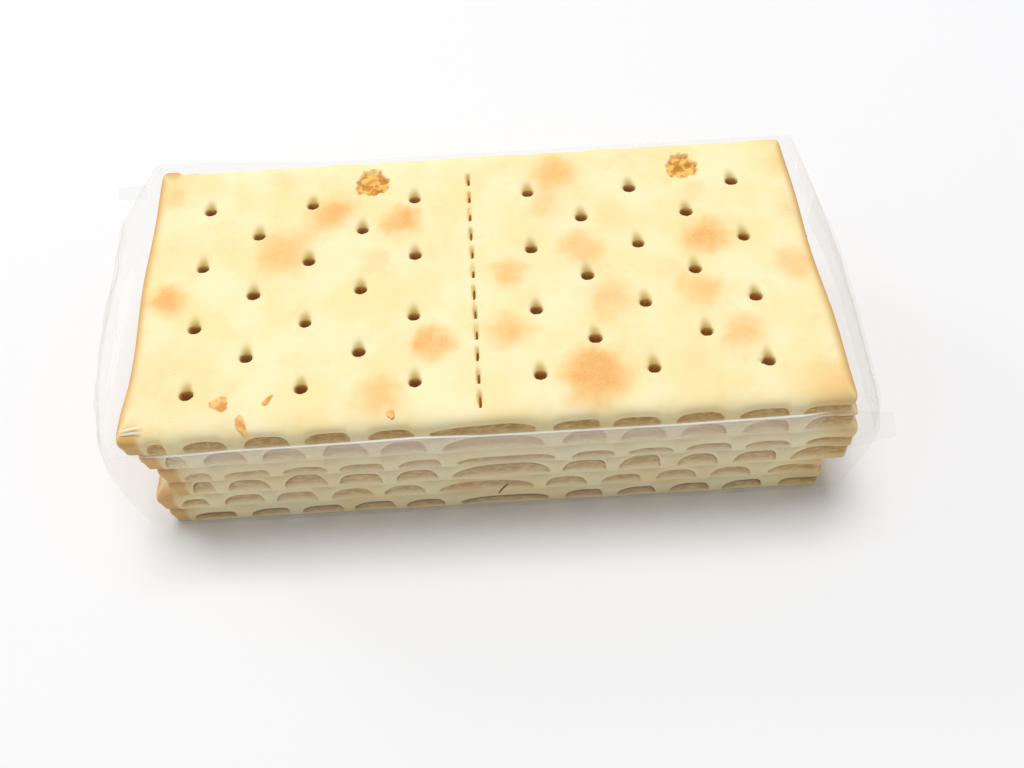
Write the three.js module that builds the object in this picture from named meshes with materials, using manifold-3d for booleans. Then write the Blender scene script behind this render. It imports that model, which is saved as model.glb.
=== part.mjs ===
// A clear-wrapped stack of six double soda crackers, lying flat, as one solid. Millimetres, +Z up.
// The origin is on the surface that the pack lies on, under the middle of its bounding box.
// +X runs along the crackers, and -Y is the side with the film's smooth front panel.
import * as THREE from 'three';
import { mergeVertices } from 'three/addons/utils/BufferGeometryUtils.js';
import Module from 'manifold-3d';

// The crackers. Lists go from the bottom cracker up.
const LENGTH = 103;
const DEPTH = 51.3;
const THICKNESS = 4.54;
const CORNER_RADIUS = 2.2;
const SLIDES = [0.5, 0, 3.2, 3.2, 1.85, 0.65]; // how far each cracker has slid along +X
const TAB_SLIDES = [2.6, -0.2, 2.3, 3.3, 1.65, 0.3]; // where each cracker's fold line is along +X
const STACK_BACK_SHIFT = 1.95; // from the docking pattern's middle row to the crackers' middle

// The torn tabs along both long edges, with a cut hollow between each two.
const TAB_PITCH_BOTTOM = 8.36;
const TAB_PITCH_GROWTH = 0.085; // for each cracker up
const TABS_EACH_WAY = 6;
const TAB_END_MARGIN = 6;
const TAB_HALF_WIDTH = 1.1;
const TAB_FLARE = 0.9;

// Edge profiles: how far in from the cracker's outline, and how high, from the underside to the top.
const TAB_PROFILE = [[0, 0], [0, 1], [0.7, 2.3], [2.1, 3.7], [4.8, THICKNESS]];
const HOLLOW_PROFILE = [[1.7, 0], [1, 1], [0.35, 1.9], [1.8, 3.6], [4.8, THICKNESS]];
const END_PROFILE = [[0.5, 0], [0, 1.3], [0.1, 3.2], [0.8, 4.2], [2, THICKNESS]];
const CORNER_EASING = 0.5; // a corner follows the long edge's profile by this share

// Docking holes, the perforated fold line and the two flaked patches in the top cracker.
const HOLE_FROM_FOLD = 9.04;
const HOLE_STEP = 8.19;
const HOLE_COLUMNS = 5;
const HOLE_ROW_STEP = 5.73;
const HOLE_ROWS = 7;
const HOLE_MOUTH_RADIUS = 1;
const HOLE_FLOOR_RADIUS = 0.55;
const HOLE_DEPTH = 1.8;
const HOLE_SIDES = 8;
const SLITS = 12;
const SLIT_SPAN = 41.4;
const SLIT_MIDDLE = 0.7;
const SLIT_LENGTH = 1.9;
const SLIT_WIDTH = 0.45;
const SLIT_DEPTH = 1;
const FLAKED_PATCHES = [[-15.9, 22.3, 2.6], [34.2, 21.9, 2.5]]; // x, y, radius
const FLAKED_DEPTH = 0.7;

// The film's ends bulge past the crackers, each to a sealed fin that is folded up against it.
// bulge lists a height and how far the end stands out there past its edge, from the floor up. Seen from
// above, an end is a squared-off oval, squarer the higher its power. flare moves its front lower corner out.
const BAG_FRONT = -24.1;
const BAG_BACK = 28;
const BAG_ROOT_REACH = 47; // where each end grows out of the stack
const BAG_ROOT_INSET = 1; // how much narrower it is there
const BAG_STATIONS = 14;
const LEFT_END = {
  side: -1,
  edge: 51.9,
  flare: 1.8,
  frontPower: 2,
  backPower: 6,
  bulge: [[0, 4.2], [3, 6.9], [8, 9.1], [13, 9.8], [18.5, 8.4], [23.5, 5], [26.2, 2.4], [26.94, 1]],
};
const RIGHT_END = {
  side: 1,
  edge: 52.7,
  flare: 2.6,
  frontPower: 5,
  backPower: 1.8,
  bulge: [[0, 2.2], [5, 4], [11, 6.2], [16, 7], [21, 5.4], [25, 3.2], [26.2, 2], [26.94, 0.8]],
};
const FLARE_FROM = -16; // the flare grows from here to the front
const FILM_SINK = 0.3; // what the ends stay under the stack's top, and inside its sides
const SHOULDER_HEIGHT = 24; // above it the ends come in at the front and back, as the top cracker does
const SHOULDER_INSET = 3;
const FIN_FRONT = -17;
const FIN_BACK = 22;
const FIN_LOW = 13;
const FIN_HIGH = 21.5;
const FIN_THICKNESS = 0.7;
const FIN_SINK = 0.1; // how deep the fin's middle lies in the end

// The two corners of the fins that stick out past the box, each by its root and its free line.
const EAR_REACH = 62.5;
const EAR_BACK = 31.5;
const BACK_LEFT_EAR = {
  root: [[-55, 24, 14], [-EAR_REACH, EAR_BACK, 15.5]],
  free: [[-54.5, 24, 21], [1.5 - EAR_REACH, EAR_BACK - 1.5, 20.5]],
};
const FRONT_RIGHT_EAR = {
  root: [[54.5, -22.6, 9.5], [EAR_REACH, -22.2, 12.5]],
  free: [[54.5, -21.8, 20], [EAR_REACH - 2, -21.6, 18.5]],
};

const OVERLAP = 0.05; // stacked pieces share this much, so that they join

const wasm = await Module();
wasm.setup();

function toSolid(geometry) {
  geometry.deleteAttribute('normal');
  geometry.deleteAttribute('uv');
  const merged = mergeVertices(geometry, 1e-4);
  return new wasm.Manifold(new wasm.Mesh({
    numProp: 3,
    vertProperties: new Float32Array(merged.attributes.position.array),
    triVerts: new Uint32Array(merged.index.array),
  }));
}

function toGeometry(solid) {
  const mesh = solid.getMesh();
  const geometry = new THREE.BufferGeometry();
  geometry.setAttribute('position', new THREE.BufferAttribute(mesh.vertProperties, 3));
  geometry.setIndex(new THREE.BufferAttribute(mesh.triVerts, 1));
  geometry.computeVertexNormals();
  return geometry;
}

// A closed body through rings of equally many points, each ring counter-clockwise seen from the last one.
function loft(rings) {
  const count = rings[0].length;
  const positions = rings.flat().flatMap((point) => [point.x, point.y, point.z]);
  const faces = [];
  for (let level = 0; level + 1 < rings.length; level += 1) {
    for (let i = 0; i < count; i += 1) {
      const a = level * count + i;
      const b = level * count + (i + 1) % count;
      faces.push(a, b, b + count, a, b + count, a + count);
    }
  }
  const cap = (ring, first, turned) => {
    const flat = ring.map((point) => capPlane(ring, point));
    for (const [a, b, c] of THREE.ShapeUtils.triangulateShape(flat, [])) {
      faces.push(first + a, first + (turned ? c : b), first + (turned ? b : c));
    }
  };
  cap(rings[0], 0, true);
  cap(rings.at(-1), (rings.length - 1) * count, false);
  const geometry = new THREE.BufferGeometry();
  geometry.setAttribute('position', new THREE.Float32BufferAttribute(positions, 3));
  geometry.setIndex(faces);
  return toSolid(geometry);
}

// A ring's points laid out in its own plane, seen along the ring's normal.
function capPlane(ring, point) {
  const normal = new THREE.Vector3();
  ring.forEach((here, i) => normal.add(here.clone().cross(ring[(i + 1) % ring.length])));
  normal.normalize();
  const across = Math.abs(normal.x) > 0.9 ? new THREE.Vector3(0, 1, 0) : new THREE.Vector3(1, 0, 0);
  across.addScaledVector(normal, -across.dot(normal)).normalize();
  const up = normal.clone().cross(across);
  return new THREE.Vector2(point.dot(across), point.dot(up));
}

// Where the edge stations of one long edge stand along the cracker, each a tab's side or a hollow's.
function edgeStations(slide, tabSlide, pitch) {
  const stations = [];
  for (let k = -TABS_EACH_WAY; k <= TABS_EACH_WAY; k += 1) {
    const x = tabSlide + k * pitch;
    const near = Math.abs(x - slide) > LENGTH / 2 - TAB_END_MARGIN;
    if (k === 0) {
      stations.push([x - pitch / 2, HOLLOW_PROFILE], [x + pitch / 2, HOLLOW_PROFILE]);
    } else if (!near) {
      stations.push([x - TAB_HALF_WIDTH - TAB_FLARE, HOLLOW_PROFILE], [x - TAB_HALF_WIDTH, TAB_PROFILE]);
      stations.push([x + TAB_HALF_WIDTH, TAB_PROFILE], [x + TAB_HALF_WIDTH + TAB_FLARE, HOLLOW_PROFILE]);
    }
  }
  return stations;
}

function cracker(index) {
  const slide = SLIDES[index];
  const pitch = TAB_PITCH_BOTTOM + TAB_PITCH_GROWTH * index;
  const stations = edgeStations(slide, TAB_SLIDES[index], pitch);
  const base = index * THICKNESS - (index > 0 ? OVERLAP : 0);
  const rings = TAB_PROFILE.map((_, level) => {
    const [endIn, endHeight] = END_PROFILE[level];
    const z = (height) => (level === 0 ? base : index * THICKNESS + height);
    const halfLength = LENGTH / 2 - endIn;
    const halfDepth = DEPTH / 2 - TAB_PROFILE[level][0] * CORNER_EASING;
    const ring = [];
    const corner = (right, back, from) => {
      for (let step = 0; step <= 2; step += 1) {
        const angle = from + (step * Math.PI) / 4;
        ring.push(new THREE.Vector3(
          slide + right * (halfLength - CORNER_RADIUS) + CORNER_RADIUS * Math.cos(angle),
          back * (halfDepth - CORNER_RADIUS) + CORNER_RADIUS * Math.sin(angle),
          z(endHeight),
        ));
      }
    };
    const edge = (back, list) => {
      for (const [x, profile] of list) {
        const [inward, height] = profile[level];
        ring.push(new THREE.Vector3(x, back * (DEPTH / 2 - inward), z(height)));
      }
    };
    edge(-1, stations);
    corner(1, -1, -Math.PI / 2);
    corner(1, 1, 0);
    edge(1, [...stations].reverse());
    corner(-1, 1, Math.PI / 2);
    corner(-1, -1, Math.PI);
    return ring.map((point) => point.add(new THREE.Vector3(0, STACK_BACK_SHIFT, 0)));
  });
  return loft(rings);
}

function dockingHoles(topHeight) {
  const holes = [];
  const widest = 2 * HOLE_MOUTH_RADIUS - HOLE_FLOOR_RADIUS; // as far above the mouth as the floor is below
  for (let row = 0; row < HOLE_ROWS; row += 1) {
    for (let column = row % 2; column < HOLE_COLUMNS; column += 2) {
      for (const side of [-1, 1]) {
        const hole = new THREE.CylinderGeometry(widest, HOLE_FLOOR_RADIUS, 2 * HOLE_DEPTH, HOLE_SIDES);
        hole.rotateX(Math.PI / 2);
        hole.translate(
          side * (HOLE_FROM_FOLD + column * HOLE_STEP),
          (row - (HOLE_ROWS - 1) / 2) * HOLE_ROW_STEP,
          topHeight,
        );
        holes.push(toSolid(hole));
      }
    }
  }
  return holes;
}

function foldSlits(topHeight) {
  const slits = [];
  const pitch = (SLIT_SPAN - SLIT_LENGTH) / (SLITS - 1);
  for (let i = 0; i < SLITS; i += 1) {
    const slit = new THREE.BoxGeometry(SLIT_WIDTH, SLIT_LENGTH, SLIT_DEPTH * 2);
    slit.translate(0, SLIT_MIDDLE + (i - (SLITS - 1) / 2) * pitch, topHeight);
    slits.push(toSolid(slit));
  }
  return slits;
}

function flakedPatches(topHeight) {
  return FLAKED_PATCHES.map(([x, y, radius]) => {
    const patch = new THREE.SphereGeometry(radius, 9, 6);
    patch.scale(1, 1, FLAKED_DEPTH / radius);
    patch.translate(x, y, topHeight - THICKNESS * 0.05);
    return toSolid(patch);
  });
}

// The value at a height in a list of heights and values.
function valueAt(list, height) {
  const next = Math.max(1, list.findIndex(([z]) => z >= height));
  const [[lowZ, low], [highZ, high]] = [list[next - 1], list[next]];
  return THREE.MathUtils.mapLinear(height, lowZ, highZ, low, high);
}

// Where a film end's surface is, at a share of the way from the front to the back and a height.
function endPoint(end, share, height) {
  const topHeight = SLIDES.length * THICKNESS;
  const rise = Math.max(0, height - SHOULDER_HEIGHT) / (topHeight - SHOULDER_HEIGHT);
  const inset = FILM_SINK + SHOULDER_INSET * rise * rise;
  const y = THREE.MathUtils.lerp(BAG_FRONT + inset, BAG_BACK - inset, share);
  const across = Math.abs(2 * share - 1);
  const power = share < 0.5 ? end.frontPower : end.backPower;
  const plan = (1 - across ** power) ** (1 / power);
  const corner = THREE.MathUtils.clamp((FLARE_FROM - y) / (FLARE_FROM - BAG_FRONT), 0, 1);
  const edge = end.edge + end.flare * corner * (1 - height / topHeight);
  return new THREE.Vector3(end.side * (edge + valueAt(end.bulge, height) * plan), y, height);
}

// A film end, as level rings from the floor up.
function bagEnd(end) {
  return loft(end.bulge.map(([height]) => {
    const ring = Array.from({ length: BAG_STATIONS + 1 }, (_, i) => (
      endPoint(end, (1 - Math.cos((Math.PI * i) / BAG_STATIONS)) / 2, height)
    ));
    const roots = [ring.at(-1), ring[0]].map(({ y }) => (
      new THREE.Vector3(end.side * BAG_ROOT_REACH, y - BAG_ROOT_INSET * Math.sign(y), height)
    ));
    ring.push(...roots);
    return end.side > 0 ? ring : ring.reverse();
  }));
}

// A thin leaf of film between a root line and a free line, equally many points each.
function leaf(root, free, thickness) {
  const rings = root.map((start, i) => {
    const across = free[i].clone().sub(start).normalize();
    const along = root[Math.min(i + 1, root.length - 1)].clone().sub(root[Math.max(i - 1, 0)]).normalize();
    const normal = along.cross(across).normalize().multiplyScalar(thickness / 2);
    return [
      start.clone().add(normal), start.clone().sub(normal),
      free[i].clone().sub(normal), free[i].clone().add(normal),
    ];
  });
  return loft(rings);
}

// The fin folded up against an end, from the front to the back.
function fin(end) {
  const stops = 9;
  const line = (height) => Array.from({ length: stops }, (_, i) => {
    const y = THREE.MathUtils.lerp(FIN_FRONT, FIN_BACK, i / (stops - 1));
    const point = endPoint(end, (y - BAG_FRONT) / (BAG_BACK - BAG_FRONT), height);
    point.x -= end.side * FIN_SINK;
    return point;
  });
  return leaf(line(FIN_LOW), line(FIN_HIGH), FIN_THICKNESS);
}

function ear({ root, free }) {
  const place = (points) => points.map((point) => new THREE.Vector3(...point));
  return leaf(place(root), place(free), FIN_THICKNESS);
}

function wrappedPack() {
  const count = SLIDES.length;
  const topHeight = count * THICKNESS;
  const stack = wasm.Manifold.union(SLIDES.map((_, index) => cracker(index)));
  const cuts = wasm.Manifold.union([
    ...dockingHoles(topHeight), ...foldSlits(topHeight), ...flakedPatches(topHeight),
  ]);
  const ends = [LEFT_END, RIGHT_END].flatMap((end) => [bagEnd(end), fin(end)]);
  const ears = [ear(BACK_LEFT_EAR), ear(FRONT_RIGHT_EAR)];
  return wasm.Manifold.union([stack.subtract(cuts), ...ends, ...ears]);
}

const film = new THREE.MeshStandardMaterial({ color: 0xf6e7b4, roughness: 0.35, metalness: 0 });
const pack = new THREE.Mesh(toGeometry(wrappedPack()), film);
pack.name = 'wrapped_crackers';
pack.geometry.computeBoundingBox();
const middle = pack.geometry.boundingBox.getCenter(new THREE.Vector3());
pack.geometry.translate(-middle.x, -middle.y, 0);

const group = new THREE.Group();
group.add(pack);

export default group;
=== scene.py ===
# Six double soda crackers sealed in a clear film bag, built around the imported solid.
# Lengths are millimetres until a mesh is made. Places are measured in the stack: x from the
# perforated fold line, y from the middle row of docking holes, z from the surface it lies on.
import math

import bmesh
import bpy
import numpy as np
from mathutils import Matrix, Vector


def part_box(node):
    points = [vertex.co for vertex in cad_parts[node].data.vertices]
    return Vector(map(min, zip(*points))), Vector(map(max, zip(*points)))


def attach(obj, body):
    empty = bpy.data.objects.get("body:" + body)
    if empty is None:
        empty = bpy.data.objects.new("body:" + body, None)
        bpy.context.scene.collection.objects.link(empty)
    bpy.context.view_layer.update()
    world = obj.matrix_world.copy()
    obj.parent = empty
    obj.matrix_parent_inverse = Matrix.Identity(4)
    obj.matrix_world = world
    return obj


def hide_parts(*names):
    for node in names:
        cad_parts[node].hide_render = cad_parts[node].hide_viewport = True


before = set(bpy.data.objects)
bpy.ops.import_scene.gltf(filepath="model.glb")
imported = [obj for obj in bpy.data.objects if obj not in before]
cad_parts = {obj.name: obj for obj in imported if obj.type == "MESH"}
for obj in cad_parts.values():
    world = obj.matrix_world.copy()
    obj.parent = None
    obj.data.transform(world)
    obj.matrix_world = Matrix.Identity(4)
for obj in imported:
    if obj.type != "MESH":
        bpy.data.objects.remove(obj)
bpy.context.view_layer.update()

MM = 0.001
SOLID = "wrapped_crackers"
BODY = "root"

# The solid's box, and where the stack's own origin lies in it.
LOW, HIGH = (np.array(corner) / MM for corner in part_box(SOLID))
FRONT_TAB_REACH = 23.8
STACK_ORIGIN = np.array([(LOW[0] + HIGH[0]) / 2, LOW[1] + FRONT_TAB_REACH, LOW[2]])
STACK_HEIGHT = HIGH[2] - LOW[2]

# One cracker, from the bottom one up.
CRACKERS = 6
FILM_GAP = 0.12
LENGTH = 103
DEPTH = 51.3
THICKNESS = (STACK_HEIGHT - 2 * FILM_GAP) / CRACKERS
SLIDES = [0.5, 0, 3.2, 3.2, 1.85, 0.65]
BACK_SHIFT = 1.95
# How far the right ends lean, as a share of y, and how far the top front left corner stands out.
RIGHT_SKEW = 0.04
CORNER_FLARE = 0.5
# How far the face lies below its rim, and how much blisters and the soft waves between them rise.
FACE_DIP = 0.34
BLISTER_RISE = 0.28
WAVE_RISE = 0.08

# Torn tabs along both long edges, with hollows between them.
TAB_SLIDES = [2.6, -0.2, 2.3, 3.3, 1.65, 0.3]
TAB_PITCH_BOTTOM = 8.36
TAB_PITCH_GROWTH = 0.085
TABS_EACH_WAY = 6
TAB_END_MARGIN = 6
TAB_HALF_WIDTH = 1.05
LIP_HEIGHTS = [2.2, 2.6, 3.8, 1.7, 3.8, 2.4]
LIP_LEDGE = 0.12
# Painted shade under the lips of the hollows: how much darker their top is than torn crust, by cracker, most
# at the bottom one by the floor.
RECESS_SHADE = [1.9, 0.8, 1.0, 0.6, 0.9, 0.3]
LEFT_CORNER = 3.6
RIGHT_CORNER = 1.2
EDGE_REACH = 4.8
END_REACH = 2.4
CORNER_SQUARENESS = 8
WALL_STEPS = 5
SHOULDER_STEPS = 18
EDGE_STEPS = WALL_STEPS + SHOULDER_STEPS

# The distance between a face's grid lines, where it is plain and where it has detail.
PLAIN_STEP = 0.7
DETAIL_STEP = 0.2
BOTTOM_DETAIL_STEP = 0.3

# Docking holes and the slits of the fold line.
HOLE_FROM_FOLD = 9.04
HOLE_STEP = 8.19
HOLE_COLUMNS = 5
HOLE_ROW_STEP = 5.73
HOLE_ROWS = 7
SLITS = 12
SLIT_PITCH = 41.4 / 11
SLIT_MIDDLE = 0.7

# Browned blisters on the top cracker: x, y, radius and how dark.
BLISTERS = [
    (-21.4, 16.6, 3.6, 0.75), (-24.0, 13.7, 3.6, 0.55), (-11.2, 13.5, 3.4, 0.85), (-29.3, 8.5, 4.8, 0.7),
    (-15.4, 6.0, 2.8, 0.4), (-46.5, 0.5, 3.4, 0.9), (-6.7, -10.0, 3.6, 0.85), (-14.1, -18.9, 4.0, 0.65),
    (-48.4, 20.8, 3.2, 0.5), (-31.0, 23.4, 2.6, 0.35), (13.4, 21.6, 4.6, 0.7), (11.3, 14.9, 3.6, 0.5),
    (21.5, 12.1, 3.6, 0.3), (16.3, 6.2, 4.0, 0.65), (5.1, 2.2, 3.0, 0.7), (4.7, -8.7, 3.6, 0.65),
    (20.0, -3.8, 4.2, 0.6), (36.0, 6.7, 4.0, 0.9), (29.4, 1.3, 3.0, 0.3), (33.7, -3.3, 3.8, 0.6),
    (38.8, -11.1, 4.0, 0.6), (16.8, -17.2, 5.4, 1.0), (35.3, 16.2, 3.0, 0.35), (25.3, -12.4, 3.0, 0.25),
    (30.9, -15.1, 3.2, 0.25), (-4.6, 6.2, 3.0, 0.25), (48.6, 0.4, 3.4, 0.6), (49.5, 12.0, 3.0, 0.4),
    (51.0, 21.5, 4.0, 0.45), (50.5, -20.0, 5.0, 0.5), (-51.0, 10.0, 2.5, 0.3), (-49.5, -14.0, 8.0, 0.3),
    (-38.0, -21.0, 7.0, 0.2), (-25.0, -21.5, 6.0, 0.12), (-52.0, 12.0, 7.0, 0.2), (40.0, -20.0, 8.0, 0.15),
    (52.0, 5.0, 6.0, 0.2), (0.0, 25.0, 6.0, 0.15), (-44.0, 25.0, 6.0, 0.2), (25.0, 24.0, 5.0, 0.2),
]
FLAKED_PATCHES = [(-15.9, 21.9, 2.75), (34.2, 21.6, 2.6)]
FLAKED_DEPTH = 0.7

# The film bag round the stack. Its upper long edges are cut off by a slope, and a crease runs
# along its front, lower at the left.
BAG_FRONT = -24.15
BAG_BACK = 28
BAG_FLOOR = 0.06
TOP_STEPS = 96
TUBE_STEPS = 150
SLOPE_INSET = 1.9
SLOPE_HEIGHT = 1.7
CREASE = 24
CREASE_PATH = [
    (-60, 22.9), (-44, 23.5), (-35, 24.1), (-18, 24.3), (-9, 24.7), (0, 24.2), (28, 24.1), (60, 25),
]
FINE_BAND = (23.7, 25)

# The ends of the bag: x of its edge, how far its lower front corner stands out, how square it is
# seen from above, and its outline as heights and reaches past the edge. The left end also has a
# shelf near its top, as far back as SHELF_BACK.
BEND_ROUNDING = 1.5
SHELF_BACK = 10.5
LEFT_END = {
    "side": -1, "edge": 51.9, "flare": 1.8, "front_power": 2, "back_power": 6, "shelf": 1.2,
    "outline": [(BAG_FLOOR, 0), (0.3, 4.2), (3, 6.9), (8, 9.1), (13, 9.8), (18.5, 8.0), (23.5, 4.2),
                (25.8, 1.6), (STACK_HEIGHT, 0)],
}
RIGHT_END = {
    "side": 1, "edge": 52.7, "flare": 2.6, "front_power": 5, "back_power": 1.8,
    "outline": [(BAG_FLOOR, 0), (0.3, 2.2), (5, 4), (11, 6.2), (16, 7), (21, 5.4), (25, 3.2),
                (26.5, 1.6), (STACK_HEIGHT, 0)],
}

# The seals: y of both ends of a fin, how high it is at the front and at the back, and the length of
# its teeth. An ear has a root line and a free line.
LEAF_THICKNESS = 0.12
TOOTH_PITCH = 0.42
FINS = [
    ("film_fin_left", LEFT_END, -21.6, 24, 24.3, 19, 0.34),
    ("film_fin_right", RIGHT_END, -21, 20, 21.5, 20, 0.08),
]
EARS = [
    ("film_ear_back_left",
     [(-55.2, 26.8, 20.6), (-62.4, 31.4, 16.3)], [(-54.4, 27, 24), (-61.3, 31.1, 19.3)]),
    ("film_ear_front_right",
     [(54.5, -22.6, 9.5), (62.5, -22.2, 12.5)], [(54.5, -21.8, 20), (60.5, -21.6, 18.5)]),
]

# The front film has a painted reflection of the floor, a milky veil, between two folds that lean out: x at
# the floor, and its change with height.
LEFT_FOLD = (-37.5, -0.33)
RIGHT_FOLD = (41.2, 0.33)
SECOND_CREASE = 0.8

# Painted glints on short creases in the film, seen from above: x, y, half length, half width and turn in
# degrees.
PAINTED_GLINTS = [
    (-48.9, -21.9, 1.9, 0.11, 12), (-48.9, -22.5, 1.8, 0.17, 4), (52.3, 19.8, 1.6, 0.14, 76),
    (55.0, -22.4, 0.9, 0.5, -35), (58.0, -21.8, 1.2, 0.15, 2), (-53.1, 8.4, 2.4, 0.13, 64),
    (-53.8, 1.0, 6.0, 0.14, 93), (-53.4, -10.5, 6.0, 0.2, 90), (-52.5, 25.5, 1.7, 0.13, 60),
]

# A hair that lies on the front film, near its foot: x and z of its two ends.
HAIR_FOOT = (1.8, 5.3)
HAIR_TIP = (3.2, 8.4)
HAIR_RADIUS = 0.12

# Loose flakes under the film: x, y, depth below the top face, length, width, turn, slope and seed.
FLAKE_THICKNESS = 0.14
FLAKE_SIDES = 22
FLAKES = [
    ("flake_front_left", -36.8, -18.5, 0, 2.9, 2.6, -0.5, 0, 1),
    ("flake_sliver", -30.0, -18.3, 0, 2.2, 0.8, 0.9, 0, 2),
    ("flake_upright", -33.4, -22.0, 0.15, 3.2, 1.3, -1.2, -0.2, 3),
    ("flake_small", -12.4, -21.6, 0, 1.1, 1.5, 0.3, 0, 4),
    ("flake_back", -38.5, 26.2, 0.6, 2.0, 1.0, 0.1, 0, 5),
    ("flake_right_edge", 51.2, 6.4, 0.9, 1.2, 0.9, 0.4, 0, 6),
]

# The camera: where it stands, its lens, and its turns in degrees about the vertical, its tilt and its roll.
CAMERA_PLACE = (5.22, -94.8, 151.31)
CAMERA_LENS = 36.257
CAMERA_TURNS = (0.2927, 31.7, -3.6)

# Edges that turn more sharply than this many degrees stay crisp.
CRISP_ANGLE = 28


# ---------------------------------------------------------------- node trees


class Value:
    """A node's output. Arithmetic on it adds Math nodes to the same tree."""

    def __init__(self, tree, socket):
        self.tree = tree
        self.socket = socket

    def maths(self, operation, *others):
        return self.tree.node("ShaderNodeMath", {"operation": operation}, [self, *others])

    def from_left(self, operation, left):
        return self.tree.node("ShaderNodeMath", {"operation": operation}, [left, self])

    def __add__(self, other):
        return self.maths("ADD", other)

    def __radd__(self, left):
        return self.from_left("ADD", left)

    def __sub__(self, other):
        return self.maths("SUBTRACT", other)

    def __rsub__(self, left):
        return self.from_left("SUBTRACT", left)

    def __mul__(self, other):
        return self.maths("MULTIPLY", other)

    def __rmul__(self, left):
        return self.from_left("MULTIPLY", left)

    def __truediv__(self, other):
        return self.maths("DIVIDE", other)

    def __pow__(self, other):
        return self.maths("POWER", other)

    def __neg__(self):
        return self.maths("MULTIPLY", -1)

    def __abs__(self):
        return self.maths("ABSOLUTE")

    def above(self, limit):
        return self.maths("GREATER_THAN", limit)

    def clipped(self):
        return self.tree.node("ShaderNodeClamp", {}, [self, 0, 1])

    def eased(self, start, end):
        """0 at start, 1 at end, with soft ends between them."""
        kind = {"interpolation_type": "SMOOTHSTEP"}
        return self.tree.node("ShaderNodeMapRange", kind, [self, start, end, 0, 1])


class Tree:
    """A node tree being written: any node comes from node(), and numbers from Value."""

    def __init__(self, tree):
        self.tree = tree
        tree.nodes.clear()

    def node(self, kind, settings=None, inputs=(), output=0):
        """Add a node with its settings, then its inputs by place or name, and return one output."""
        made = self.tree.nodes.new(kind)
        for name, setting in (settings or {}).items():
            setattr(made, name, setting)
        pairs = inputs.items() if isinstance(inputs, dict) else enumerate(inputs)
        for key, value in pairs:
            if isinstance(value, Value):
                self.tree.links.new(value.socket, made.inputs[key])
            else:
                made.inputs[key].default_value = value
        return Value(self, made.outputs[output]) if made.outputs else made

    def mix(self, share, first, second):
        """A colour between two colours."""
        return self.node("ShaderNodeMix", {"data_type": "RGBA"}, {0: share, 6: first, 7: second}, 2)

    def parts(self, vector):
        """The three numbers of a vector."""
        return [self.node("ShaderNodeSeparateXYZ", {}, [vector], axis) for axis in range(3)]

    def attribute(self, name):
        return self.node("ShaderNodeAttribute", {"attribute_name": name}, (), "Fac")

    def noise(self, place, size, detail=2, roughness=0.5):
        """Noise whose patches are about size millimetres across."""
        inputs = {"Vector": place, "Scale": 1 / (size * MM), "Detail": detail, "Roughness": roughness}
        return self.node("ShaderNodeTexNoise", {}, inputs)


def shader_tree(name):
    material = bpy.data.materials.new(name)
    material.use_nodes = True
    return material, Tree(material.node_tree)


def rgb(red, green, blue):
    """A colour picked on screen, from 0 to 255, as a shader's linear colour."""
    linear = [((c / 255 + 0.055) / 1.055) ** 2.4 if c > 10 else c / 255 / 12.92 for c in (red, green, blue)]
    return (*linear, 1)


# ---------------------------------------------------------------- materials


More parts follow.
